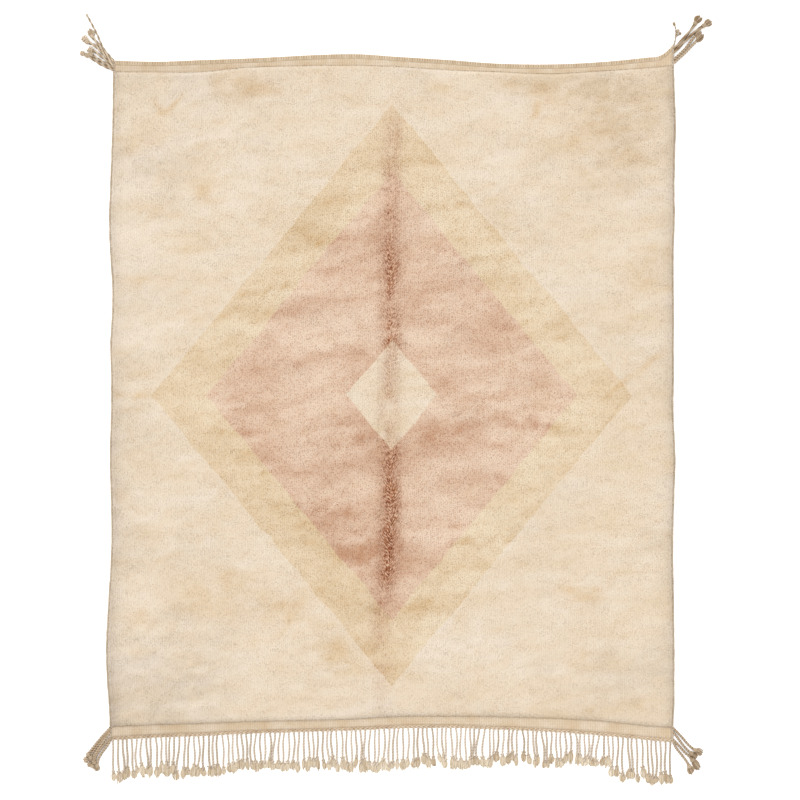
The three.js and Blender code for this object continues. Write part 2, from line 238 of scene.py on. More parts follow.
# Each dye of the wool at its palest and deepest, and how much it varies from tuft to tuft.
DYES = {
    "cream": (linear("efe1cf"), linear("e4ceae"), 0.12),
    "tan": (linear("ecdabf"), linear("d4b487"), 0.7),
    "rose": (linear("ebd3bc"), linear("c49473"), 0.8),
}

# A traditional medallion of lozenges set one inside the other: half width and half length, in mm.
LOZENGES = [("tan", 1065, 1290), ("rose", 822, 995), ("cream", 205, 245)]
LOZENGE_MIDDLE = (0, 10)
DYE_BLUR = 3.5


def dyed_wool(tree, depth, swing):
    """The field's colour. A place is inside a lozenge where its distances across and along from
    the middle, as shares of the half sizes, add up to under 1. A soft drift moves the places
    first, so that the outlines waver. Returns the colour, how far it is dyed, and the place."""
    spot = node(tree, "TexCoord")["Object"]
    drift = node(tree, "TexNoise", {"Vector": spot, "Scale": 9.0, "Detail": 3.0})["Color"]
    drift = node(tree, "VectorMath", {0: drift, 1: (0.5, 0.5, 0.5)}, operation="SUBTRACT")[0]
    drift = node(tree, "VectorMath", {0: drift, "Scale": 0.03}, operation="SCALE")[0]
    moved = node(tree, "VectorMath", {0: spot, 1: drift}, operation="ADD")[0]
    away = []
    for axis, middle in zip(node(tree, "SeparateXYZ", {0: moved}), LOZENGE_MIDDLE):
        offset = node(tree, "Math", {0: axis, 1: middle * MM}, operation="SUBTRACT")[0]
        away.append(node(tree, "Math", {0: offset}, operation="ABSOLUTE")[0])
    shades = {}
    for name, (pale, deep, scatter) in DYES.items():
        share = {0: swing, 1: scatter, 2: depth}
        share = node(tree, "Math", share, operation="MULTIPLY_ADD", use_clamp=True)[0]
        shades[name] = node(tree, "Mix", {0: share, 6: pale, 7: deep}, **BLEND)[2]
    colour, dyed = shades["cream"], 0.0
    for name, half_wide, half_long in LOZENGES:
        share_x = node(tree, "Math", {0: away[0], 1: half_wide * MM}, operation="DIVIDE")[0]
        share_y = node(tree, "Math", {0: away[1], 1: half_long * MM}, operation="DIVIDE")[0]
        total = node(tree, "Math", {0: share_x, 1: share_y}, operation="ADD")[0]
        edge = DYE_BLUR / half_wide
        inside = node(tree, "MapRange", {0: total, 1: 1 - edge, 2: 1 + edge, 3: 1.0, 4: 0.0})[0]
        colour = node(tree, "Mix", {0: inside, 6: colour, 7: shades[name]}, **BLEND)[2]
        strength = 0.0 if name == "cream" else 1.0
        dyed = node(tree, "Mix", {0: inside, 2: dyed, 3: strength}, data_type="FLOAT")[0]
    return colour, dyed, spot


# Hand-spun wool cloth seen from behind: matt, in low rows of knot backs 8 mm apart.
KNOT_ROW, WARP_PAIR = 8.0, 6.5
back_wool, tree, shader = new_material("hand_knotted_wool_back", 0.95, 0.15)
colour, _, spot = dyed_wool(tree, 0.5, 0.0)
patch = node(tree, "TexNoise", {"Vector": spot, "Scale": 14.0, "Detail": 5.0})[0]
patch = node(tree, "ValToRGB", {0: patch})[0]
colour = node(tree, "Mix", {0: 0.5, 6: colour, 7: patch}, **SOFT)[2]
rows = {"Vector": spot, "Scale": wave_scale(KNOT_ROW)}
rows = node(tree, "TexWave", rows, bands_direction="Y")["Fac"]
loops = {"Vector": spot, "Scale": wave_scale(WARP_PAIR)}
loops = node(tree, "TexWave", loops, bands_direction="X")["Fac"]
weave = node(tree, "Math", {0: rows, 1: loops}, operation="MULTIPLY")[0]
# Painted shade: the cloth is darker in the hollows between the knot backs and a little lighter on their
# tops.
shaded = node(tree, "Mix", {0: 1.0, 6: colour, 7: linear("c9b79c")}, **TINT)[2]
share = node(tree, "Math", {0: weave, 1: 0.35}, operation="MULTIPLY")[0]
colour = node(tree, "Mix", {0: share, 6: shaded, 7: colour}, **BLEND)[2]
relief = node(tree, "Bump", {"Height": weave, "Strength": 0.8, "Distance": 0.002})[0]
tree.links.new(colour, shader.inputs["Base Color"])
tree.links.new(relief, shader.inputs["Normal"])

# The cloth itself is one thin slab between the side cords.
across, along = np.meshgrid(np.linspace(0, 1, 42), np.linspace(0, 1, 50))
x, y = place_on_rug(across, along, SELVEDGE_WIDE)
foundation_top = spots_at(x, y, FOUNDATION_THICK)
foundation_under = foundation_top * (1, 1, 0)
points, faces = slab(foundation_top, foundation_under)
foundation = make_piece("woven_foundation", points, faces, back_wool)
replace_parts(foundation, "pile_field")

# Knotted pile
# Soft hand-spun wool, tied in rows on the warps and clipped to about 25 mm. It is faded, rubbed
# and stained with age, and it parts along the line where the rug lay folded for years.

PILE_HEIGHT = 25.0
RIM_WALL, RIM_ROUND = 8.0, 22.0
HALF_LONG = 1450.0

# The fold: place along, place across and depth, in mm, and how dark the painted shade in it shows.
CREASE = np.array([
    (1420, 6, 0, 0.0),
    (1190, 4, 1.5, 0.25),
    (1000, -6, 3, 0.4),
    (810, -4, 4.5, 0.5),
    (570, -7, 5, 0.62),
    (255, -5, 5, 0.66),
    (0, -7, 5, 0.6),
    (-278, -1, 5, 0.8),
    (-456, -3, 5.5, 0.9),
    (-611, -11, 5.5, 1.0),
    (-756, -18, 5, 0.72),
    (-867, -34, 3.5, 0.55),
    (-1034, -52, 2, 0.2),
    (-1212, -50, 1, 0.25),
    (-1420, -55, 0, 0.1),
], float)
CREASE_HALF = 36.0

# The low waves in the pile, in mm: height, length across, length along, phase.
WAVES = [(0.9, 1900, 310, 0.4), (0.7, -760, 420, 2.1), (0.5, 330, 980, 4.4)]


def patches(x, y, wide, long, seed, layers=3, keep=0.6):
    """Soft random patches of about a unit's spread: each layer blends the random values at the
    corners of its cells by eased weights, and has half the last one's cell and a share of its height."""
    total = np.zeros_like(x)
    height = 1.0
    for layer in range(layers):
        table = np.random.default_rng(seed + 97 * layer).uniform(-1.7, 1.7, (256, 256))
        column, row = x / wide * 2**layer + 51.3, y / long * 2**layer + 64.7
        i, j = np.floor(column).astype(int), np.floor(row).astype(int)
        s, t = column - i, row - j
        s, t = s * s * (3 - 2 * s), t * t * (3 - 2 * t)
        low = blend(table[j % 256, i % 256], table[j % 256, (i + 1) % 256], s)
        high = blend(table[(j + 1) % 256, i % 256], table[(j + 1) % 256, (i + 1) % 256], s)
        total += height * blend(low, high, t)
        height *= keep
    return total


def eased(low, high, value):
    """0 under low, 1 over high, and a smooth step between them."""
    t = np.clip((value - low) / (high - low), 0, 1)
    return t * t * (3 - 2 * t)


def across_fold(x, y):
    """Distance from the fold, in its half widths, with a slow wander of its own."""
    return (x - curve(CREASE, 1, y) - 5 * patches(x, y, 400, 90, 11, 2)) / CREASE_HALF


def pile_height(x, y, across, along):
    """The pile's height: a quarter-round rim, low waves, small lumps, and the furrow of the fold."""
    from_side = 2 * HALF_WIDTH * np.minimum(across, 1 - across)
    from_end = 2 * HALF_LONG * np.minimum(along, 1 - along)
    reach = np.minimum(from_side, from_end)
    crown = np.sqrt(np.clip(1 - (1 - np.minimum(reach / RIM_ROUND, 1)) ** 2, 0, 1))
    furrow_shade = curve(CREASE, 2, y) * np.exp(-across_fold(x, y) ** 2)
    waves = sum(h * np.sin(2 * np.pi * (x / a + y / b) + p) for h, a, b, p in WAVES)
    lumps = 0.55 * patches(x, y, 60, 40, 5, 2)
    return RIM_WALL + crown * (PILE_HEIGHT - RIM_WALL + waves + lumps - furrow_shade)


# Stains of age, in mm: middle across, middle along, half width, half length, turn, strength.
OCHRE_STAINS = [
    (-1045, 1303, 27, 9, -59, 1.5),
    (-1036, 1288, 14, 10, 0, 0.8),
    (-1019, 1263, 30, 8, 26, 1.6),
    (-966, 1306, 46, 8, 47, 1.7),
    (-690, 1390, 150, 55, -5, 0.6),
    (-1110, 1120, 80, 28, 20, 0.6),
    (-820, 915, 70, 50, -30, 0.6),
    (660, 1375, 190, 40, 0, 0.45),
    (640, 1280, 14, 60, -20, 0.6),
    (970, 1200, 270, 220, 0, 0.5),
    (1050, 85, 170, 14, 38, 0.7),
    (1100, 505, 80, 65, 0, 0.3),
    (-1120, 525, 130, 14, 5, 0.6),
    (-1150, 10, 100, 9, 0, 0.6),
    (-660, -870, 360, 120, 5, 0.35),
    (-255, -1130, 75, 48, 0, 0.8),
    (-475, -950, 85, 48, 15, 0.5),
    (800, -850, 170, 14, 0, 0.6),
    (870, -880, 65, 32, 0, 0.5),
    (-1120, -990, 65, 55, 0, 0.4),
    (290, -1005, 45, 42, 0, 0.35),
    (845, -1150, 55, 52, 0, 0.35),
]
GREY_STAINS = [
    (-1150, -250, 90, 480, 0, 0.25),
    (-1180, -1390, 280, 140, 5, 0.8),
    (-990, -1180, 280, 230, 0, 0.75),
    (-980, 1050, 180, 130, 15, 0.45),
    (1150, -620, 100, 140, 0, 0.3),
    (-900, 1380, 480, 90, 0, 0.5),
    (900, 1390, 420, 70, 0, 0.4),
    (1040, 1180, 280, 270, 0, 0.45),
    (1020, -1250, 260, 170, 0, 0.45),
]


def stained(x, y, stains):
    """The sum of soft ovals, each turned by its angle and cut up by small patches."""
    total = np.zeros_like(x)
    ragged = 1 + 0.45 * patches(x, y, 55, 22, 31)
    for middle_x, middle_y, half_wide, half_long, turn, strength in stains:
        cosine, sine = np.cos(np.radians(turn)), np.sin(np.radians(turn))
        a = ((x - middle_x) * cosine + (y - middle_y) * sine) / half_wide
        b = ((y - middle_y) * cosine - (x - middle_x) * sine) / half_long
        total += strength * np.exp(-((a * a + b * b) ** 1.3))
    return np.clip(total * ragged, 0, 1)


# Dark streaks of the dye, in mm: middle across, middle along, half length, half thickness, slope.
STREAKS = [
    (-560, 470, 130, 11, 0.12),
    (-400, 560, 190, 9, 0.08),
    (-250, 700, 120, 9, 0.05),
    (-480, 640, 60, 8, 0.1),
    (-330, 880, 90, 12, 0.0),
    (-130, -180, 160, 30, 0.05),
    (-300, -500, 220, 40, -0.05),
    (-90, -690, 180, 45, 0.05),
    (250, -160, 170, 26, 0.3),
    (330, 850, 150, 14, 0.1),
    (430, 620, 170, 12, 0.15),
    (560, 330, 130, 10, 0.1),
    (620, -120, 150, 22, -0.1),
    (420, -640, 210, 14, 0.05),
    (160, -930, 120, 20, 0.0),
    (-700, -150, 150, 12, 0.05),
    (-560, -330, 90, 9, 0.1),
    (120, 330, 110, 9, 0.1),
]


def pile_marks(x, y):
    """Depth of dye, ochre stain, the fold's painted shade, and grey, which is partly painted shade along
    the rim, for each place.
    """
    slant = y - 0.06 * x + 14 * patches(x, y, 500, 260, 3, 2)
    depth = 0.36 + 0.07 * x / HALF_WIDTH + 0.13 * patches(x, slant, 260, 80, 21, 5, 0.8)
    # Inside the medallion the dye has faded on the right, and is deeper at the lower left.
    _, half_wide, half_long = LOZENGES[0]
    middle_x, middle_y = LOZENGE_MIDDLE
    medallion = eased(1.05, 0.95, np.abs(x - middle_x) / half_wide + np.abs(y - middle_y) / half_long)
    faded = 0.16 * eased(-50, 450, x) - 0.1 * eased(-50, -450, y) * eased(350, 50, x)
    depth = depth - faded * medallion
    for middle_x, middle_y, half_long, half_thick, slope in STREAKS:
        a = (x - middle_x) / half_long
        b = (y - middle_y - slope * (x - middle_x) - 9 * patches(x, y, 70, 400, 28, 2)) / half_thick
        depth = depth + 0.42 * np.exp(-(a**4) - b * b) * (1 + 0.5 * patches(x, y, 34, 14, 29, 2))
    # Thin darker rows come and go where the yarn of another batch was knotted in.
    thin = eased(1.3, 2.3, patches(x, slant, 200, 16, 23, 3))
    depth = depth + 0.4 * thin * eased(-0.2, 1.3, patches(x, y, 420, 160, 24, 2))
    ochre = stained(x, y, OCHRE_STAINS) + 0.3 * eased(0.7, 2.4, patches(x, slant, 120, 50, 25, 4, 0.8))
    away = across_fold(x, y)
    clusters = 1 + 0.35 * patches(x, y, 45, 90, 26, 3, 0.8)
    # The fold's mark is painted shade where the pile parts along it.
    fold = 1.1 * curve(CREASE, 3, y) * np.exp(-np.abs(away) ** 1.8) * clusters
    left, right = HALF_WIDTH + curve(SIDES, 1, y) + x, HALF_WIDTH + curve(SIDES, 2, y) - x
    low, top = y - curve(ENDS, LOW_PILE, x), curve(ENDS, TOP_PILE, x) - y
    side, end = np.minimum(left, right), np.minimum(low, top)
    # Grey stains and patches tint the wool. Painted shade greys its rounded rim, most along the lower
    # left.
    grey_and_rim_shade = 0.35 * stained(x, y, GREY_STAINS) + 0.04 * patches(x, y, 180, 110, 27, 5, 0.8)
    low_left = eased(0, 1, -x) * eased(300, -500, y)
    rim_shade_falloff = np.exp(-np.maximum(side - 16, 0) / (20 + 8 * low_left))
    grey_and_rim_shade = grey_and_rim_shade + (0.4 + 0.25 * low_left) * eased(3, 16, side) * rim_shade_falloff
    grey_and_rim_shade = grey_and_rim_shade + 0.1 * np.exp(-np.maximum(end - 8, 0) / 16)
    grey_and_rim_shade = grey_and_rim_shade + 0.1 * np.exp(-np.minimum(side, end) / 60)
    return np.clip(np.stack([depth, ochre, fold, grey_and_rim_shade], axis=-1), 0, 1)


# Hand-knotted wool pile: matt, with a light bloom where loose hairs catch the light. Its four-part
# attribute holds the dye's depth, the ochre stain, the fold's painted shade and the grey, which is
# partly painted shade along the rim, and its tuft attribute a tone of each tuft's own.
pile_wool, tree, shader = new_material("hand_knotted_wool_pile", 0.95, 0.2)
age_and_shade = node(tree, "Attribute", attribute_name="age_and_shade")
depth, ochre, fold = node(tree, "SeparateColor", {0: age_and_shade["Color"]})
tuft = node(tree, "Attribute", attribute_name="tuft")["Fac"]
swing = node(tree, "Math", {0: tuft, 1: 0.5}, operation="SUBTRACT")[0]
colour, dyed, spot = dyed_wool(tree, depth, swing)
ochre = node(tree, "Math", {0: ochre, 1: 0.5}, operation="MULTIPLY")[0]
strength = node(tree, "Math", {0: dyed, 1: 0.5, 2: 0.5}, operation="MULTIPLY_ADD")[0]
painted_fold = node(tree, "Math", {0: fold, 1: strength}, operation="MULTIPLY")[0]
# The ochre stain and the grey tint the wool. The grey is partly painted shade along the rim, and the
# fold's tint is painted shade where the pile parts.
for share, tint in ((ochre, "e8cc96"), (age_and_shade["Alpha"], "d4d2d2"), (painted_fold, "d8ad8e")):
    colour = node(tree, "Mix", {0: share, 6: colour, 7: linear(tint)}, **TINT)[2]
# Along the fold the tips lie over in short strokes, about 15 mm by 5 mm, that rise away from it.
# The dark strokes are painted shade where the pile parts, and the light strokes are painted
# highlight on the tips that lie over. The fold's line runs straight down the rug and bends to the
# left near the fringe.
axes = node(tree, "SeparateXYZ", {0: spot})
middle = node(tree, "MapRange", {0: axes[1], 1: -0.7, 2: -1.03, 3: -0.006, 4: -0.05})[0]
away = node(tree, "Math", {0: axes[0], 1: middle}, operation="SUBTRACT")[0]
stray = node(tree, "TexNoise", {"Vector": spot, "Scale": 11.0, "Detail": 1.0})[0]
stray = node(tree, "Math", {0: stray, 1: 0.5}, operation="SUBTRACT")[0]
away = node(tree, "Math", {0: stray, 1: 0.02, 2: away}, operation="MULTIPLY_ADD")[0]
beside = node(tree, "Math", {0: away}, operation="ABSOLUTE")[0]
right = node(tree, "Math", {0: away, 1: 0.0}, operation="GREATER_THAN")[0]
strokes = node(tree, "CombineXYZ", {0: beside, 1: axes[1], 2: right})[0]
strokes = node(tree, "Mapping", {
    "Vector": strokes, "Rotation": (0.0, 0.0, 1.0), "Scale": (0.015, 0.0046, 0.2),
}, vector_type="TEXTURE")[0]
strokes = node(tree, "TexNoise", {"Vector": strokes, "Scale": 1.0, "Detail": 0.0})[0]
dark = node(tree, "MapRange", {0: strokes, 1: 0.46, 2: 0.62})[0]
specks = node(tree, "Math", {0: tuft, 1: tuft, 2: 0.6}, operation="MULTIPLY_ADD")[0]
dark = node(tree, "Math", {0: dark, 1: specks}, operation="MULTIPLY")[0]
dark = node(tree, "Math", {0: dark, 1: painted_fold}, operation="MULTIPLY", use_clamp=True)[0]
colour = node(tree, "Mix", {0: dark, 6: colour, 7: linear("9c6748")}, **TINT)[2]
light = node(tree, "MapRange", {0: strokes, 1: 0.46, 2: 0.32, 4: 0.6})[0]
light = node(tree, "Math", {0: light, 1: painted_fold}, operation="MULTIPLY")[0]
colour = node(tree, "Mix", {0: light, 6: colour, 7: linear("f6dfc6")}, **BLEND)[2]
tree.links.new(colour, shader.inputs["Base Color"])

# The soft body of the pile lies just under the tips of its tufts. Its rounded rim has closer rows,
# whose distances from the edge are given in mm.
TIP = 2.8
END_INSET = 4.0
RIM_STEPS = np.array([0, 2, 5, 9, 15, 23])


def rows_over(length, count):
    """Shares from 0 to 1: even ones, with closer ones at both ends for the rounded rim."""
    near = RIM_STEPS / length
    return np.concatenate([near, np.linspace(near[-1], 1 - near[-1], count)[1:-1], 1 - near[::-1]])


across, along = np.meshgrid(rows_over(2 * HALF_WIDTH, 80), rows_over(2 * HALF_LONG, 94))
x, y = place_on_rug(across, along, SELVEDGE_WIDE + 0.6, END_INSET)
top = spots_at(x, y, pile_height(x, y, across, along) - TIP)
under = spots_at(x, y, FOUNDATION_THICK + 0.2)
points, faces = slab(top, under)
marks = {"age_and_shade": pile_marks(points[:, 0], points[:, 1]), "tuft": np.full(len(points), 0.4)}
body = make_piece("pile_body", points, faces, pile_wool, marks, plan=True)
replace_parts(body, "pile_field")


def tufts(middles, outward, lean, height, foot, rng):
    """Small closed spikes: a three-sided foot square to outward, turned at random, and a tip that
    stands a height along outward and is then moved by its lean."""
    side = np.cross(outward, np.where(np.abs(outward[:, :1]) < 0.7, (1.0, 0, 0), (0, 1.0, 0)))
    side /= np.linalg.norm(side, axis=1, keepdims=True)
    other = np.cross(outward, side)
    turn = rng.uniform(0, 2 * np.pi, (len(middles), 1)) + np.array([0, 2, 4]) * np.pi / 3
    ring = np.cos(turn)[..., None] * side[:, None] + np.sin(turn)[..., None] * other[:, None]
    feet = middles[:, None] + foot[:, None, None] * ring
    tips = middles + outward * height[:, None] + lean
    points = np.concatenate([feet, tips[:, None]], axis=1).reshape(-1, 3)
    first = 4 * np.arange(len(middles))[:, None]
    faces = np.concatenate([first + (0, 1, 3), first + (1, 2, 3), first + (2, 0, 3), first + (0, 2, 1)])
    return points, faces


def rim_lean(across, along):
    """How far a place faces out over each side: 1 at the rim, and 0 once the pile is level."""
    sides = np.stack([across * 2 * HALF_WIDTH, (1 - across) * 2 * HALF_WIDTH,
                      along * 2 * HALF_LONG, (1 - along) * 2 * HALF_LONG])
    left, right, low, top = np.clip(1 - sides / RIM_ROUND, 0, 1)
    flat = np.stack([right - left, top - low], axis=-1)
    size = np.minimum(np.linalg.norm(flat, axis=-1, keepdims=True), 0.95)
    flat = flat / np.maximum(np.linalg.norm(flat, axis=-1, keepdims=True), 1e-9) * size
    return np.concatenate([flat, np.sqrt(1 - size**2)], axis=-1)


# The tufts stand in columns 9 mm apart and rows 6 mm apart, in three fields one above another.
# They lean down the rug, and beside the fold they lie over to both sides of it.
FOOT_DEPTH = 2.0
columns, rows = 272, 496
rng = np.random.default_rng(7)
for part in range(3):
    own = np.arange(part * rows // 3, (part + 1) * rows // 3)
    column, row = (value.ravel() for value in np.meshgrid(np.arange(columns), own))
    count = len(column)
    across = (column + 0.5 + rng.uniform(-0.22, 0.22, count)) / columns
    along = (row + 0.5 + rng.uniform(-0.4, 0.4, count)) / rows
    x, y = place_on_rug(across, along, SELVEDGE_WIDE + 1, END_INSET)
    outward = rim_lean(across, along)
    spots = spots_at(x, y, pile_height(x, y, across, along) - TIP) - FOOT_DEPTH * outward
    away = across_fold(x, y)
    parting = curve(CREASE, 3, y) * np.sign(away) * np.exp(-away * away)
    lean = np.stack([
        4.0 * parting + 0.6 * patches(x, y, 70, 50, 41, 2) + rng.normal(0, 1.0, count),
        -1.5 + 0.6 * patches(x, y, 80, 45, 42, 2) + rng.normal(0, 1.0, count),
        np.zeros(count),
    ], axis=1)
    height = 4.9 + rng.normal(0, 0.5, count) + 0.8 * np.abs(parting)
    points, faces = tufts(spots, outward, lean, height, 6.5 + rng.normal(0, 0.4, count), rng)
    age_and_shade = pile_marks(x, y)
    yarn = rng.uniform(0, 1, count)
    marks = {"age_and_shade": np.repeat(age_and_shade, 4, axis=0), "tuft": np.repeat(yarn, 4)}
    piece = make_piece(f"pile_tufts_{part + 1}", points, [faces], pile_wool, marks, plan=True)
    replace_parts(piece, "pile_field")

# The lowest tufts of the rim stand out level over the side cords and the flat ends.
RIM_FOOT_DEPTH, RIM_FOOT_HIGH, RIM_TUFT = 2.5, 7.9, 6.0
share = np.linspace(0, 1, 500)
walls = [(share, 0 * share), (share, 0 * share + 1), (0 * share, share), (0 * share + 1, share)]
spots, outward = [], []
for (across, along), out in zip(walls, [(0, -1), (0, 1), (-1, 0), (1, 0)]):
    x, y = place_on_rug(across, along, SELVEDGE_WIDE + 1, END_INSET)
    spots.append(spots_at(x - RIM_FOOT_DEPTH * out[0], y - RIM_FOOT_DEPTH * out[1], RIM_FOOT_HIGH))
    outward.append(np.tile((out[0], out[1], 0.3), (len(x), 1)))
spots = np.concatenate(spots) + rng.normal(0, 0.6, (len(share) * 4, 3))
outward = np.concatenate(outward) / np.linalg.norm((1, 0.3))
count = len(spots)
lean, height = rng.normal(0, 0.9, (count, 3)), rng.normal(RIM_TUFT, 0.8, count)
points, faces = tufts(spots, outward, lean, height, np.full(count, RIM_TUFT), rng)
age_and_shade = pile_marks(spots[:, 0], spots[:, 1])
yarn = rng.uniform(0, 1, count)
marks = {"age_and_shade": np.repeat(age_and_shade, 4, axis=0), "tuft": np.repeat(yarn, 4)}
rim = make_piece("pile_rim", points, [faces], pile_wool, marks)
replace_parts(rim, "pile_field")

# Side cords
# Two warps at each side, overcast with wool yarn into a firm round edge about 8 mm thick. The
# overcasting passes through the foundation's edge and holds the cord to it.

CORD_RADIUS = 4.1
OVERCAST_STEP = 7.5  # from one turn of the overcasting yarn to the next


def tubes(paths, radius, sides, lobes=0.0, twist=0.0, ridges=2, tone=0.5):
    """Closed tubes along many paths at once. Each ring is square to its path, and its radius is
    times 1 plus lobes times the cosine of ridges times the angle less the twist there. The marks
    say how dark each tube's yarn is, and how deep in a groove each point lies."""
    count, rings = paths.shape[:2]
    ahead = np.gradient(paths, axis=1)
    ahead /= np.linalg.norm(ahead, axis=-1, keepdims=True)
    across = np.cross((0.0, 0.0, 1.0), ahead)
    across /= np.linalg.norm(across, axis=-1, keepdims=True)
    lift = np.cross(ahead, across)
    angle = 2 * np.pi * np.arange(sides) / sides
    swell = np.cos(ridges * angle - np.broadcast_to(twist, (count, rings))[..., None])
    reach = np.broadcast_to(radius, (count, rings))[..., None] * (1 + lobes * swell)
    ring_points = paths[:, :, None] + (reach * np.cos(angle))[..., None] * across[:, :, None]
    ring_points = ring_points + (reach * np.sin(angle))[..., None] * lift[:, :, None]
    number = np.arange(count * rings * sides).reshape(count, rings, sides)
    after = np.roll(number, -1, axis=2)
    quads = quads_between(number[:, :-1], after[:, :-1], after[:, 1:], number[:, 1:])
    start = number.size + 2 * np.arange(count)[:, None] + np.zeros((1, sides), int)
    near = np.stack([start, after[:, 0], number[:, 0]], axis=-1).reshape(-1, 3)
    far = np.stack([start + 1, number[:, -1], after[:, -1]], axis=-1).reshape(-1, 3)
    points = np.concatenate([ring_points.reshape(-1, 3), paths[:, [0, -1]].reshape(-1, 3)])
    tones = np.clip(np.broadcast_to(tone, (count, rings)), 0, 1)
    # The groove mark is where the yarn material paints shade between the lobes.
    groove = (0.5 - 0.5 * swell) if lobes else np.zeros(number.shape)
    marks = {
        "tone": np.concatenate([np.repeat(tones, sides), tones[:, [0, -1]].ravel()]),
        "groove": np.concatenate([groove.ravel(), np.zeros(2 * count)]),
    }
    return points, [quads, np.concatenate([near, far])], marks


def joined(parts):
    """One set of points, faces and marks from several, with their point numbers moved on."""
    blocks, shift = {}, 0
    for new_points, new_faces, _ in parts:
        for block in new_faces:
            blocks.setdefault(block.shape[1], []).append(block + shift)
        shift += len(new_points)
    points = np.concatenate([part[0] for part in parts])
    faces = [np.concatenate(block) for block in blocks.values()]
    marks = {key: np.concatenate([part[2][key] for part in parts]) for key in ("tone", "groove")}
    return points, faces, marks


def yarn_material(name, pale, dark, furrow_shade):
    """Plied wool yarn: matt, in tones that change from strand to strand, with painted shade between the
    plies.
    """
    material, tree, shader = new_material(name, 0.9, 0.15)
    spot = node(tree, "TexCoord")["Object"]
    tone = node(tree, "Attribute", attribute_name="tone")["Fac"]
    groove = node(tree, "Attribute", attribute_name="groove")["Fac"]
    patch = node(tree, "TexNoise", {"Vector": spot, "Scale": 60.0, "Detail": 4.0})[0]
    share = node(tree, "Mix", {0: 0.3, 2: tone, 3: patch}, data_type="FLOAT")[0]
    colour = node(tree, "Mix", {0: share, 6: linear(pale), 7: linear(dark)}, **BLEND)[2]
    hairs = node(tree, "TexNoise", {"Vector": spot, "Scale": 700.0, "Detail": 2.0})[0]
    grain = node(tree, "ValToRGB", {0: hairs})[0]
    colour = node(tree, "Mix", {0: 0.3, 6: colour, 7: grain}, **SOFT)[2]
    # Painted shade: deep in a groove the yarn takes the furrow colour.
    deep = node(tree, "Math", {0: groove, 1: 2.0}, operation="POWER")[0]
    deep = node(tree, "Math", {0: deep, 1: 0.9}, operation="MULTIPLY")[0]
    colour = node(tree, "Mix", {0: deep, 6: colour, 7: linear(furrow_shade)}, **TINT)[2]
    relief = node(tree, "Bump", {"Height": hairs, "Strength": 0.6, "Distance": 0.0008})[0]
    tree.links.new(colour, shader.inputs["Base Color"])
    tree.links.new(relief, shader.inputs["Normal"])
    return material


cord_wool = yarn_material("plied_wool_side_cord", "e4d6c3", "bfae96", "bca78b")
for side, name in ((0, "left"), (1, "right")):
    along = np.linspace(0, 1, 940)
    x, y = place_on_rug(side + 0 * along, along)
    out = 2 * side - 1
    x = x - out * (CORD_RADIUS + 0.5) + 0.5 * patches(y, y, 45, 45, 51 + side, 2)
    path = spots_at(x, y, CORD_RADIUS + 0.6)[None]
    tone = 0.4 + 0.25 * patches(y, y, 60, 60, 53 + side)
    # Painted shade follows the groove of the overcasting round the cord.
    points, faces, marks = tubes(path, CORD_RADIUS, 8, 0.12, 2 * np.pi * y / OVERCAST_STEP, 1, tone)
    cord = make_piece(f"side_cord_{name}", points, faces, cord_wool, marks)
    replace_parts(cord, f"selvedge_{name}")

# Flat woven ends
# Plain bands of weft-packed wool, about 5 mm thick, woven before the first and after the last
# row of knots. Their warps show as fine ribs from the pile to the finish.

BAND_THICK = 5.0
BAR_WIDE, GAP = 9.0, 0.3  # the tassels' bars beside each band, and the gap between neighbours
ROLL_WIDE, TWINING_WIDE = 20.0, 12.0
RIB_STEP, WEFT_STEP = 10.5, 12.0

# Flat-woven wool: matt, in fine ribs over its warps, crossed by softer rows, with painted shade in
# the low furrows between them, and greyer towards the left.
band_wool, tree, shader = new_material("flat_woven_wool", 0.92, 0.15)
spot = node(tree, "TexCoord")["Object"]
patch = node(tree, "TexNoise", {"Vector": spot, "Scale": 12.0, "Detail": 5.0})[0]
patch = node(tree, "MapRange", {0: patch, 1: 0.3, 2: 0.7})[0]
colour = node(tree, "Mix", {0: patch, 6: linear("e8d9c4"), 7: linear("dac3a4")}, **BLEND)[2]
across = node(tree, "SeparateXYZ", {0: spot})[0]
greyer_left = node(tree, "MapRange", {0: across, 1: 0.1, 2: -1.1, 4: 0.25})[0]
colour = node(tree, "Mix", {0: greyer_left, 6: colour, 7: linear("dcd8d4")}, **TINT)[2]
ribs = node(tree, "TexWave", {
    "Vector": spot, "Scale": wave_scale(RIB_STEP), "Distortion": 4.0, "Detail Scale": 5.0,
}, bands_direction="X")["Fac"]
wefts = node(tree, "TexWave", {
    "Vector": spot, "Scale": wave_scale(WEFT_STEP), "Distortion": 5.0, "Detail Scale": 7.0,
}, bands_direction="Y")["Fac"]
height = node(tree, "Math", {0: wefts, 1: 0.6, 2: ribs}, operation="MULTIPLY_ADD")[0]
# Painted shade darkens the wool in the low furrows between the ribs and rows.
furrow_shade = node(tree, "MapRange", {0: height, 1: 0.1, 2: 1.2, 3: 1.0, 4: 0.0})[0]
colour = node(tree, "Mix", {0: furrow_shade, 6: colour, 7: linear("efe7dc")}, **TINT)[2]
relief = node(tree, "Bump", {"Height": height, "Strength": 0.5, "Distance": 0.001})[0]
tree.links.new(colour, shader.inputs["Base Color"])
tree.links.new(relief, shader.inputs["Normal"])


def band_line(pile_column, count):
    """Places across one end, from tassel bar to tassel bar, and the pile's line there."""
    share = np.linspace(0, 1, count)
    along = 1.0 if pile_column == TOP_PILE else 0.0
    left, right = (float(place_on_rug(np.array(s), np.array(along))[0]) for s in (0.0, 1.0))
    x = blend(left + BAR_WIDE + GAP, right - BAR_WIDE - GAP, share)
    return x, curve(ENDS, pile_column, x)


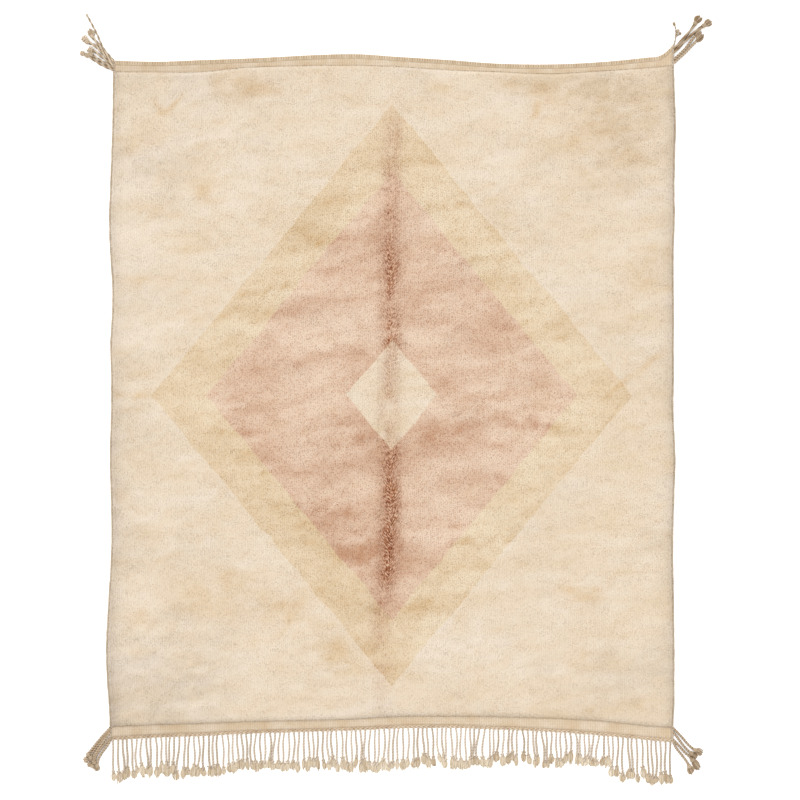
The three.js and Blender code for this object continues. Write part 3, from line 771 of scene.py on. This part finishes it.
# Each band stops short of its finish, the roll at the plain end or the twined row at the other.
for pile_column, edge_column, finish, name in (
    (TOP_PILE, TOP_EDGE, -ROLL_WIDE, "end_band_plain"),
    (LOW_PILE, LOW_EDGE, TWINING_WIDE, "end_band_fringed"),
):
    x, at_pile = band_line(pile_column, 300)
    away = np.sign(finish) * -GAP
    near, far = at_pile + away, curve(ENDS, edge_column, x) + finish - away
    # The band's inner edge laps over the foundation, and the rest of it lies on the floor.
    share = np.array([-0.08, 0.0, 0.005, 0.15, 0.4, 0.7, 1])[:, None]
    y = blend(near, far, share) if away > 0 else blend(near, far, share[::-1])
    x = np.broadcast_to(x, y.shape)
    laps = np.abs(y - far) > np.abs(near - far) - 0.01
    z = BAND_THICK + 0.4 + 0.3 * patches(x, y, 26, 12, 61, 2)
    under = np.where(laps, FOUNDATION_THICK + 0.2, 0.0)
    points, faces = slab(spots_at(x, y, z), spots_at(x, y, under))
    band = make_piece(name.replace("end_band", "flat_woven_end"), points, faces, band_wool)
    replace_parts(band, name)

# Bound roll of the plain end
# The ivory wool warps are turned back in pairs beyond the flat band and bound down, so this edge
# is a row of small plump ribs.

ROLL_HIGH = 7.6
ROLL_RIB = 11.2

# Along the roll the ribs swell like half sine waves. Its section is a low arch that starts part
# way up beside the flat weave and falls to the floor outside.
(left, right), _ = band_line(TOP_PILE, 2)
ribs = int(round((right - left) / ROLL_RIB))
x = np.linspace(left, right, ribs * 7 + 1)
phase = (x - left) / (right - left) * ribs
swell = np.abs(np.sin(np.pi * phase)) ** 0.55
number = np.floor(phase)
size = 1 + 0.1 * patches(number * 11.0, number * 0, 11, 11, 71, 1)
inner = curve(ENDS, TOP_EDGE, x) - ROLL_WIDE
angle = np.linspace(0, np.pi, 7)[:, None]
depth_share = (1 - np.cos(angle)) / 2
bulge = 1.2 * (swell - 0.6) * size
y = inner + (ROLL_WIDE + bulge) * depth_share
rise = blend(0.6, 0.0, depth_share) + 0.5 * np.sin(angle) ** 1.2
ribbed = (1 - swell) * np.minimum(depth_share * 2.2, 1)
z = 0.2 + ROLL_HIGH * rise * (1 - 0.3 * ribbed) * blend(1, size, depth_share)
top = spots_at(x, y, np.maximum(z, 0.3))
points, faces = slab(top, top * (1, 1, 0))
roll_wool = yarn_material("bound_wool_warps", "decbb1", "c2a987", "a48863")
tone = np.clip(0.45 + 0.25 * patches(points[:, 0], points[:, 0], 22, 22, 72, 2), 0, 1)
# The groove mark paints shade into the valleys between the ribs.
marks = {"tone": tone, "groove": np.tile(ribbed.ravel(), 2)}
roll = make_piece("bound_roll", points, faces, roll_wool, marks)
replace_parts(roll, "ribbed_end_roll")

# Twined row and fringe
# Two yarns are twined round the warps to lock the last weft. Each group of warps hangs from it,
# twisted into a cord, knotted near its end and cut to a short brush.

STRANDS = 118
STRAND_MARGIN = 6.0
STRAND_RADIUS = 4.6
STRAND_TURN = 13.0
TWINE_RADIUS, TWINE_HIGH, TWINE_TURN = 3.6, 4.8, 20.8

# The fringe's length, in mm: place across, length from the flat end to the brush's tip.
FRINGE = np.array([
    (-1250, 186),
    (-1080, 168),
    (-850, 184),
    (-590, 163),
    (-430, 177),
    (-320, 166),
    (-60, 190),
    (150, 170),
    (290, 178),
    (480, 158),
    (750, 149),
    (955, 138),
    (1000, 190),
    (1130, 184),
    (1250, 200),
], float)

fringe_wool = yarn_material("twisted_wool_warps", "f1e5d7", "bcab94", "c6b49e")
(left, right), _ = band_line(LOW_PILE, 2)
x = np.linspace(left, right, 1150)
outer = curve(ENDS, LOW_EDGE, x)
rows = []
for shift, hand in ((3.2, 1), (8.6, -1)):
    y = outer + shift + 0.5 * patches(x, x, 18, 18, 81, 2)
    tone = 0.3 - 0.3 * x / HALF_WIDTH + 0.3 * patches(x, x, 40, 40, 82, 2)
    twist = hand * 2 * np.pi * x / TWINE_TURN
    # Painted shade lies in the groove between the two lobes of each twined yarn.
    rows.append(tubes(spots_at(x, y, TWINE_HIGH)[None], TWINE_RADIUS, 8, 0.3, twist, 2, tone))
points, faces, marks = joined(rows)
twining_wool = yarn_material("twined_wool_yarns", "efdcc1", "c6ae90", "b4997a")
twining = make_piece("twined_row", points, faces, twining_wool, marks)
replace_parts(twining, "twined_fringe")

rng = np.random.default_rng(19)
number = np.arange(STRANDS)
root_x = np.linspace(left + STRAND_MARGIN, right - STRAND_MARGIN, STRANDS)
root_y = curve(ENDS, LOW_EDGE, root_x) + 6
length = curve(FRINGE, 1, root_x) + 5 + 5 * np.sin(2.3 * number) + 3 * np.sin(0.9 * number)
length = length + rng.normal(0, 6, STRANDS)
drift = 8.5 * np.sin(0.29 * number + 0.6) + 1.8 * np.sin(1.7 * number) + rng.normal(0, 4.2, STRANDS)
bow = 2.6 * np.sin(0.8 * number) + rng.normal(0, 3.0, STRANDS)
# The outermost strands lie straighter, beside the tassels.
inside = np.where(np.abs(root_x) < 0.98 * HALF_WIDTH, 1.0, 0.4)
brush_long = np.clip(rng.normal(44, 8, STRANDS), 28, 64)
knot_share = 1 - brush_long / length
strand_tone = 0.4 + 0.3 * (root_x / HALF_WIDTH) ** 2 + rng.normal(0, 0.16, STRANDS)


def strand_place(share):
    """Where each strand lies at a share of its length: it drifts to one side and bows a little."""
    side = drift[:, None] * np.abs(share) ** 1.5 + bow[:, None] * np.sin(np.pi * share)
    side = side + 2.0 * np.sin(8 * share + 1.3 * number[:, None])
    x = root_x[:, None] + inside[:, None] * side
    return spots_at(x, root_y[:, None] - length[:, None] * share, 0.0)


# The twisted cords, down to their knots.
steps = np.linspace(0, 1, 40)
along = steps * knot_share[:, None]
path = strand_place(along)
radius = STRAND_RADIUS * (1 + 0.06 * np.sin(number))[:, None] * (1 - 0.06 * np.sin(7 * steps))
path[..., 2] = radius * 1.2
twist = along * length[:, None] / STRAND_TURN * 2 * np.pi + number[:, None]
# The cords carry painted shade in the grooves between their plies.
parts = [tubes(path, radius, 7, 0.1, twist, 2, strand_tone[:, None])]

# The knots: a plump double turn of the cord.
turns = np.linspace(0, 1, 9)
path = strand_place(knot_share[:, None] + (turns - 0.35) * 16 / length[:, None])
plump = np.array([0.7, 1.05, 1.3, 1.2, 1.15, 1.35, 1.4, 1.1, 0.7])
path[..., 2] = STRAND_RADIUS * plump * 1.2 + 0.2
twist = turns * 7 + number[:, None]
# The knots carry painted shade in the grooves between their plies too.
parts.append(tubes(path, STRAND_RADIUS * plump, 8, 0.16, twist, 2, strand_tone[:, None]))


def brushes(root, ahead, wide, long, yarns, high, closing, tone, rng):
    """Loose cut yarns that fan out from each root. Each runs ahead in even steps, while its place
    in the fan times the half width, and a curve that opens the fan, moves it to the side. Closing
    blends that curve from an open broom to a round-ended drop."""
    count = len(root)
    side = np.stack([-ahead[:, 1], ahead[:, 0]], axis=1)
    fan = np.linspace(-1, 1, yarns) + rng.normal(0, 0.14, (count, yarns))
    steps = np.linspace(0, 1, 6)
    opened = np.array([0.1, 0.6, 0.9, 1.0, 1.05, 1.05])
    drop = np.array([0.2, 0.5, 0.85, 1.0, 0.9, 0.45])
    opened = blend(opened, drop, np.broadcast_to(closing, count)[:, None])[:, None]
    reach = long[:, None] * (1 - 0.12 * fan**2 + rng.normal(0, 0.07, (count, yarns)))
    sway = rng.normal(0, 1.3, (count, yarns, 1)) * np.sin(np.pi * steps)
    sideways = fan[..., None] * wide[:, None, None] * opened + sway
    forward = reach[..., None] * steps
    flat = root[:, None, None] + ahead[:, None, None] * forward[..., None]
    flat = flat + side[:, None, None] * sideways[..., None]
    piled = high * (1 - np.minimum(fan**2, 1))[..., None]
    lift = 2.7 + piled * rng.uniform(0, 1, (count, yarns, 1)) * opened
    paths = np.concatenate([flat, lift[..., None]], axis=-1).reshape(count * yarns, 6, 3)
    tones = (tone[:, None] + rng.normal(0, 0.3, (count, yarns))).reshape(-1, 1)
    return tubes(paths, np.array([2.2, 2.3, 2.4, 2.3, 2.1, 1.5]), 4, tone=tones)


# The brushes below the knots, and the short ends that stand out above them.
start, beyond = strand_place(knot_share[:, None]), strand_place(knot_share[:, None] + 0.1)
ahead = (beyond - start)[:, 0, :2]
ahead /= np.linalg.norm(ahead, axis=1, keepdims=True)
root = start[:, 0, :2]
wide = np.clip(rng.normal(11.0, 2.4, STRANDS), 7, 16)
closing = rng.uniform(0.1, 0.8, STRANDS)
YARNS, PILED_HIGH = 13, 6.0
tone = strand_tone - 0.15
loose = [brushes(root, ahead, wide, brush_long, YARNS, PILED_HIGH, closing, tone, rng)]
short = rng.uniform(4, 11, STRANDS)
tone = strand_tone - 0.05
loose.append(brushes(root + 4 * ahead, -ahead, 0.7 * wide, short, 3, 4.0, 0.0, tone, rng))
frayed_wool = yarn_material("frayed_wool_ends", "f4e7d0", "c0a683", "ccb898")
fringe_parts = (("warp_fringe", parts, fringe_wool), ("cut_brushes", loose, frayed_wool))
for name, made, wool in fringe_parts:
    points, faces, marks = joined(made)
    fringe = make_piece(name, points, faces, wool, marks)
    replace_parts(fringe, "twined_fringe")

# Corner tassels
# The side warps are plied into long cords at each corner, knotted and cut like the fringe.
# They are sewn to a short bar along the end of each flat band.

# Each cord has its places on the floor from root to tip, its radius, and the length of one turn of
# its two plies. Then come the half width and length of its brush, if it has one, and for each
# knot how far back from the tip it lies, and its size. All are in mm.
TASSELS = {
    "tassel_top_left": [
        ([(-1238, 1499), (-1283, 1553), (-1312, 1617), (-1341, 1672), (-1358, 1703)],
         4.4, 60, (), [(3, 6)]),
        ([(-1238, 1493), (-1286, 1545), (-1318, 1586), (-1336, 1610), (-1345, 1639)],
         6.9, 80, (13, 38), [(38, 9)]),
        ([(-1238, 1484), (-1289, 1534), (-1323, 1566), (-1352, 1579), (-1368, 1597)],
         6.9, 70, (), [(24, 13), (3, 17)]),
        ([(-1238, 1475), (-1274, 1503), (-1300, 1523), (-1323, 1539), (-1342, 1545)],
         6.9, 80, (), [(4, 17)]),
        ([(-1238, 1466), (-1276, 1486), (-1312, 1508), (-1338, 1526)],
         6.6, 60, (), [(3, 12)]),
        ([(-1238, 1456), (-1286, 1477), (-1323, 1500), (-1352, 1519), (-1378, 1530)],
         6.8, 70, (), [(27, 12), (4, 13)]),
    ],
    "tassel_top_right": [
        ([(1250, 1556), (1259, 1587), (1262, 1620), (1260, 1645), (1252, 1668)],
         2.8, 30, (4, 16), []),
        ([(1261, 1604), (1268, 1622), (1272, 1632)],
         4.4, 30, (), [(3, 7)]),
        ([(1262, 1606), (1274, 1612), (1284, 1622)],
         3.2, 30, (4, 9), []),
        ([(1252, 1550), (1301, 1601), (1338, 1647), (1368, 1698)],
         7.1, 170, (15, 36), [(42, 11)]),
        ([(1252, 1533), (1301, 1582), (1345, 1624), (1385, 1652), (1419, 1673)],
         7.1, 150, (17, 34), [(40, 11)]),
        ([(1254, 1502), (1301, 1547), (1330, 1585), (1352, 1612), (1372, 1630)],
         6.6, 26, (13, 36), []),
        ([(1252, 1486), (1301, 1531), (1337, 1568), (1384, 1612)],
         6.6, 24, (12, 44), []),
    ],
    "tassel_low_left": [
        ([(-1252, -1468), (-1295, -1515), (-1327, -1554), (-1349, -1584), (-1360, -1610)],
         6.2, 24, (), [(27, 11), (2, 15)]),
        ([(-1252, -1478), (-1287, -1520), (-1317, -1558), (-1336, -1590), (-1343, -1632)],
         6.2, 22, (), [(34, 11), (3, 13)]),
        ([(-1252, -1486), (-1281, -1526), (-1309, -1566), (-1326, -1600), (-1332, -1640)],
         6.2, 26, (), [(4, 10)]),
        ([(-1252, -1511), (-1275, -1538), (-1303, -1573), (-1319, -1605), (-1323, -1650)],
         6.2, 23, (12, 26), [(28, 10)]),
        ([(-1252, -1522), (-1267, -1549), (-1292, -1583), (-1308, -1616), (-1311, -1661)],
         6.2, 25, (11, 26), [(26, 9)]),
    ],
    "tassel_low_right": [
        ([(1249, -1468), (1286, -1507), (1317, -1543), (1342, -1564), (1379, -1584)],
         5.8, 25, (13, 38), [(40, 10)]),
        ([(1249, -1484), (1277, -1523), (1299, -1552), (1323, -1577), (1356, -1601)],
         5.8, 23, (12, 34), [(34, 11)]),
        ([(1249, -1520), (1277, -1550), (1302, -1578), (1326, -1600), (1365, -1652)],
         5.8, 24, (14, 54), [(52, 11)]),
        ([(1249, -1529), (1264, -1559), (1286, -1587), (1308, -1616), (1318, -1634), (1333, -1674)],
         5.8, 22, (15, 36), [(38, 11)]),
    ],
}


def smooth_path(places, count):
    """A smooth line through a few places, evenly stepped: cubics with slopes from the neighbours."""
    rows = np.column_stack([np.arange(len(places)), np.array(places, float)])
    fine = np.linspace(0, len(places) - 1, 200)
    line = np.stack([curve(rows, 1, fine), curve(rows, 2, fine)], axis=1)
    run = np.concatenate([[0], np.cumsum(np.linalg.norm(np.diff(line, axis=0), axis=1))])
    even = np.linspace(0, run[-1], count)
    places = np.column_stack([np.interp(even, run, line[:, 0]), np.interp(even, run, line[:, 1])])
    return places, run[-1]


def two_plies(line, radius, turn, phase, tone):
    """Two plies wound round each other along a line on the floor: each one's middle circles the
    line at 0.42 of the cord's radius. They carry painted shade where they pass below, in the groove
    between them, and down their flanks."""
    run = np.concatenate([[0], np.cumsum(np.linalg.norm(np.diff(line, axis=0), axis=1))])
    ahead = np.gradient(line, axis=0)
    ahead /= np.linalg.norm(ahead, axis=1, keepdims=True)
    angle = (run / turn * 2 * np.pi + phase + np.array([[0], [np.pi]]))[..., None]
    side = np.stack([-ahead[:, 1], ahead[:, 0]], axis=1)
    flat = line + 0.42 * radius * np.cos(angle) * side
    lift = radius * (1.1 + 0.42 * np.sin(angle))
    paths = np.concatenate([flat, lift], axis=-1)
    tones = tone - 0.45 * np.sin(angle[..., 0])
    points, faces, marks = tubes(paths, 0.6 * radius, 8, tone=tones)
    rings = points[:-4].reshape(2, len(line), 8, 3)
    aside = np.abs(((rings[..., :2] - line[:, None]) * side[:, None]).sum(-1)) / radius
    under = np.clip((1.8 - rings[..., 2] / radius) / 0.3, 0, 1)
    flank = np.clip((1.65 - rings[..., 2] / radius) / 0.6, 0, 0.9)
    marks["groove"][:-4] = np.maximum(np.clip(1 - aside / 0.5, 0, 1) * under, flank).ravel()
    return points, faces, marks


def knot(middle, ahead, size, phase, tone):
    """A knot: a yarn wound nearly three turns over a plump core, in turns that narrow towards
    both ends. A big knot's middle lies no higher than 11 mm, because its weight flattens it."""
    share = np.linspace(-1, 1, 34)
    high = min(size, 10.5)
    turn = np.pi * 2.7 * share + phase
    reach = np.sqrt(1 - 0.75 * share**2) * (1 - 3.2 / size)
    side = np.array([-ahead[1], ahead[0]])
    flat = middle + 0.72 * size * share[:, None] * ahead + (size * reach * np.cos(turn))[:, None] * side
    lift = high + 0.6 + (high - 3.2) * np.sqrt(1 - 0.75 * share**2) * np.sin(turn)
    # Painted shade: the winding is darker where it passes low, and the core under it is painted darker.
    winding = tubes(np.column_stack([flat, lift])[None], 3.4, 6, tone=tone - 0.2 * np.sin(turn))
    share = np.linspace(-0.9, 0.9, 7)
    core = middle + 0.8 * size * share[:, None] * ahead
    core = np.column_stack([core, np.full(7, high + 0.6)])[None]
    return [winding, tubes(core, (high - 3) * np.sqrt(1 - share**2), 8, tone=tone + 0.15)]


BAR_RADIUS, BAR_HIGH = 4.3, 4.8
TASSEL_YARNS, TASSEL_PILED_HIGH, TASSEL_CLOSING = 18, 9.0, 0.35
tassel_wool = yarn_material("plied_wool_tassel_cord", "ead9bf", "8c6c46", "4a3420")
# Each corner's tassels have a darkness of their own.
for (name, cords), corner_tone in zip(TASSELS.items(), (0.7, 0.95, 0.95, 0.9)):
    parts = []
    for order, (places, radius, turn, brush, knots) in enumerate(cords):
        # A tight twist needs closer steps.
        count = 110 if turn < 30 else 50
        line, run = smooth_path(places, count)
        brush_long = brush[1] if brush else 0
        stop = int(count * (1 - brush_long / run))
        tone = corner_tone + rng.uniform(-0.15, 0.15)
        parts.append(two_plies(line[:stop], radius, turn, 1.3 * order, tone))
        for back, size in knots:
            spot = min(int(count * (1 - back / run)), count - 2)
            ahead = (line[spot + 1] - line[spot]) / np.linalg.norm(line[spot + 1] - line[spot])
            parts.extend(knot(line[spot], ahead, size, 1.7 * order, tone + rng.uniform(-0.4, -0.1)))
        if brush:
            ahead = line[-1] - line[stop - 1]
            ahead = (ahead / np.linalg.norm(ahead))[None]
            wide, long = (np.array([value], float) for value in brush)
            parts.append(brushes(
                line[stop - 1][None], ahead, wide, long,
                TASSEL_YARNS, TASSEL_PILED_HIGH, TASSEL_CLOSING, np.array([tone - 0.2]), rng,
            ))
    # The bar runs from the pile to the end's outer edge, beside the flat band.
    out = -1 if "left" in name else 1
    pile_column, edge_column = (TOP_PILE, TOP_EDGE) if "top" in name else (LOW_PILE, LOW_EDGE)
    end_x = band_line(pile_column, 2)[0][int(out > 0)] + out * (GAP + BAR_WIDE / 2)
    y = np.linspace(curve(ENDS, pile_column, end_x), curve(ENDS, edge_column, end_x), 24)[1:]
    twist = y / OVERCAST_STEP * 2 * np.pi
    # Painted shade follows the groove of the overcasting round the bar.
    bar = tubes(spots_at(end_x, y, BAR_HIGH)[None], BAR_RADIUS, 10, 0.1, twist, 1, 0.35)
    for kind, made, wool in (("corded", joined(parts), tassel_wool), ("sewn_bar_of", bar, cord_wool)):
        points, faces, marks = made
        piece = make_piece(f"{kind}_{name}", points, faces, wool, marks)
        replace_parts(piece, name)

# Floor, light and camera
# A plain white studio floor under wide soft light, with the camera straight overhead.

floor_paint, tree, shader = new_material("white_floor", 0.9, 0.0)
shader.inputs["Base Color"].default_value = linear("fafafa")
shader.inputs["Emission Color"].default_value = linear("ffffff")
shader.inputs["Emission Strength"].default_value = 0.4
mesh = bpy.data.meshes.new("floor")
floor_corners = [(-12, -12, 0), (12, -12, 0), (12, 12, 0), (-12, 12, 0)]
mesh.from_pydata(floor_corners, [], [(0, 1, 2, 3)])
mesh.materials.append(floor_paint)
floor = bpy.data.objects.new("floor", mesh)
bpy.context.scene.collection.objects.link(floor)

world = bpy.data.worlds.new("studio")
bpy.context.scene.world = world
world.use_nodes = True
world.node_tree.nodes["Background"].inputs["Color"].default_value = (1.0, 1.0, 1.0, 1.0)
world.node_tree.nodes["Background"].inputs["Strength"].default_value = 0.85

lamp = bpy.data.lights.new("wide_soft_light", "SUN")
lamp.energy = 0.9
lamp.angle = 1.0
wide_light = bpy.data.objects.new("wide_soft_light", lamp)
wide_light.rotation_euler = (-0.5, -0.35, 0.0)
bpy.context.scene.collection.objects.link(wide_light)

# The photograph is 3.558 m wide at the floor, and its middle lies to the right of the rug's and
# a little below it.
VIEW_WIDE = 3.5584
VIEW_MIDDLE = (0.0356, -0.0111)
lens = bpy.data.cameras.new("overhead")
lens.lens = 85.0
lens.sensor_width = 36.0
lens.clip_end = 60.0
overhead = bpy.data.objects.new("overhead", lens)
overhead.location = (*VIEW_MIDDLE, VIEW_WIDE * lens.lens / lens.sensor_width)
bpy.context.scene.collection.objects.link(overhead)
bpy.context.scene.camera = overhead
bpy.context.scene.view_settings.view_transform = "Standard"
